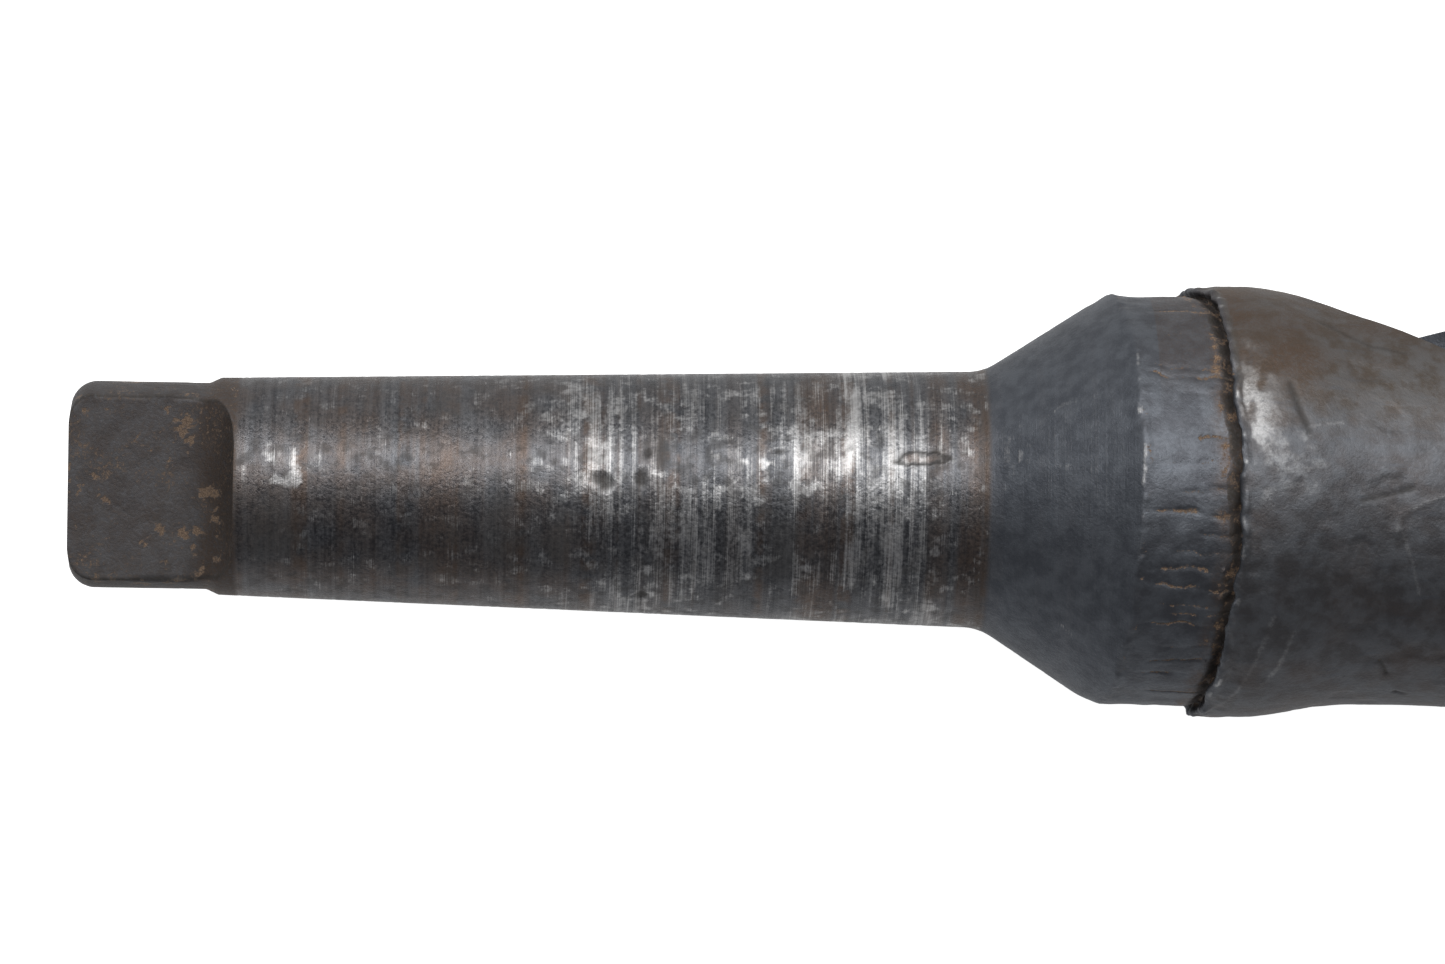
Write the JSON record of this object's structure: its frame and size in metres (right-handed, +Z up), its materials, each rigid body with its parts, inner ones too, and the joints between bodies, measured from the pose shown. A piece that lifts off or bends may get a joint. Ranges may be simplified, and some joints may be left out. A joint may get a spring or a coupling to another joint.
{
  "type": "taper shank twist drill",
  "caption": "Large forged twist drill with a tanged Morse taper shank, a turned cone, a rough forged shoulder and two helical flutes.",
  "frame": {"origin": "centre of the taper's gauge plane, where it measures 44.399 mm across", "axes": "+X along the turned axis from the tang to the point, +Z up out of the tang's upper flat, +Y across the tang"},
  "size_m": [0.437, 0.0754, 0.0757],
  "materials": {
    "shank_steel": "ground, worn and rust-stained",
    "weld_steel": "turned, oxidised",
    "high_speed_steel": "forged scale, ground margins and flutes"
  },
  "bodies": {
    "root": {"taper_shank": "shank_steel", "weld_joint": "weld_steel", "fluted_body": "high_speed_steel"}
  },
  "joints": []
}
